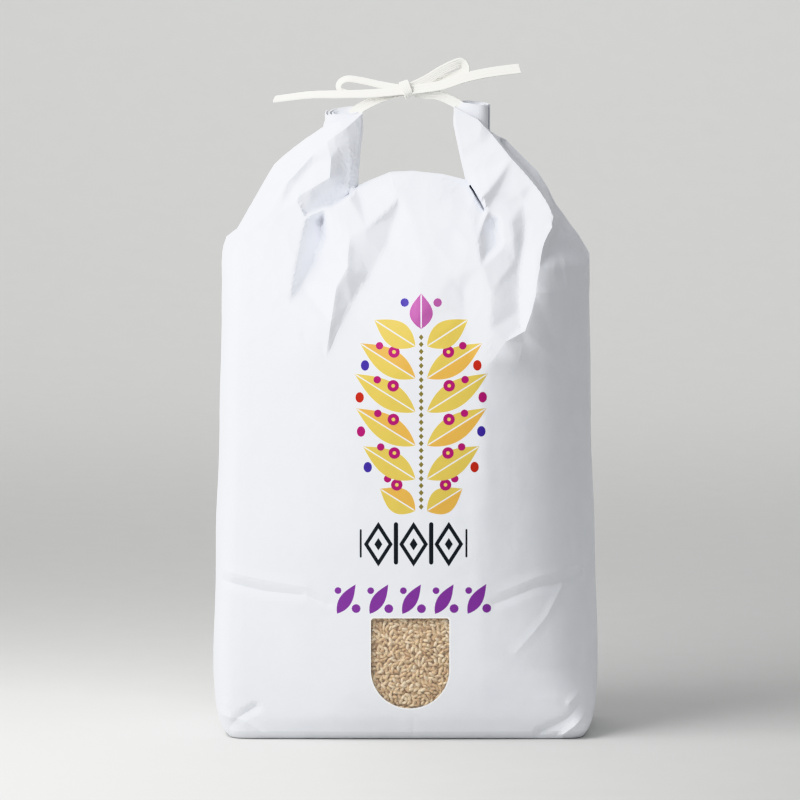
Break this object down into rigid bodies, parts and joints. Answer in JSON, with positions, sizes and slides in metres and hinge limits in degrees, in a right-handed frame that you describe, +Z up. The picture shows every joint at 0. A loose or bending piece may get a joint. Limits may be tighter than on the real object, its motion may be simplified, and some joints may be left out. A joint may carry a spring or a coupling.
{
  "type": "rice sack",
  "caption": "Block-bottom paper sack filled with brown rice, standing, with a rolled mouth, two tied ears that form a hand-hold and a clear window near the base.",
  "frame": {"origin": "middle of the underside that the sack stands on, below the middle of its bounding box", "axes": "+Z up along the sack's height, +X to the right seen from the front, the printed front with the window faces -Y"},
  "size_m": [0.2348, 0.124, 0.4066],
  "materials": {
    "coated_paper": "white coated kraft paper, slight sheen, creased",
    "clear_film": "clear plastic window film, smooth",
    "rice_grains": "husked brown rice grains, waxy, tan",
    "paper_string": "flat cream-white paper string, dull"
  },
  "bodies": {
    "root": {"sack": "coated_paper", "window_film": "clear_film", "rice": "rice_grains", "tie_string": "paper_string"}
  },
  "joints": []
}
